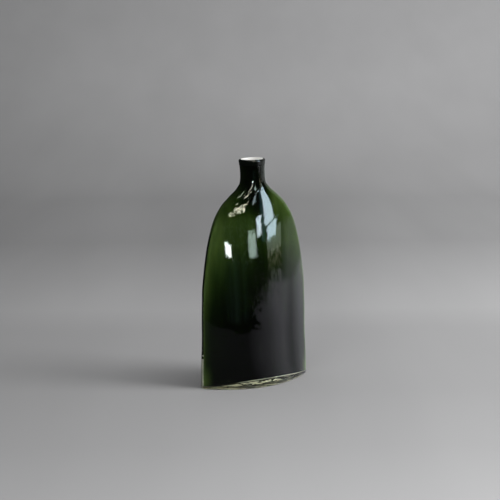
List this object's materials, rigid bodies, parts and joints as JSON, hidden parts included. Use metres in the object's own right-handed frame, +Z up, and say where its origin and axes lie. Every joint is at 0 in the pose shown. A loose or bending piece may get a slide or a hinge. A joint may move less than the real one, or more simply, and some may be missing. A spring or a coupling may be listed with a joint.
{
  "type": "glass bottle",
  "caption": "Tall hand-blown glass bottle with a flattened oval body, a short round neck and a rolled lip, layered in opal, dark green and clear glass on a clear foot.",
  "frame": {"origin": "middle of the flat underside of the foot, which is the middle of the bounding box's bottom face", "axes": "+Z up through the neck; X along the long axis of the oval body, with the neck tipping slightly towards -X; Y across the thin way"},
  "size_m": [0.1462, 0.0652, 0.2805],
  "materials": {
    "opal_lining": "opaque white glass, glossy",
    "green_body": "dense dark green glass, glossy",
    "clear_casing": "clear glass, fire-polished, slightly rippled",
    "clear_foot": "clear glass, polished sides, ground flat underside",
    "lip_ring": "almost black green glass, fire-polished"
  },
  "bodies": {
    "root": {"opal_lining": "opal_lining", "green_body": "green_body", "clear_casing": "clear_casing", "clear_foot": "clear_foot", "lip_ring": "lip_ring"}
  },
  "joints": []
}
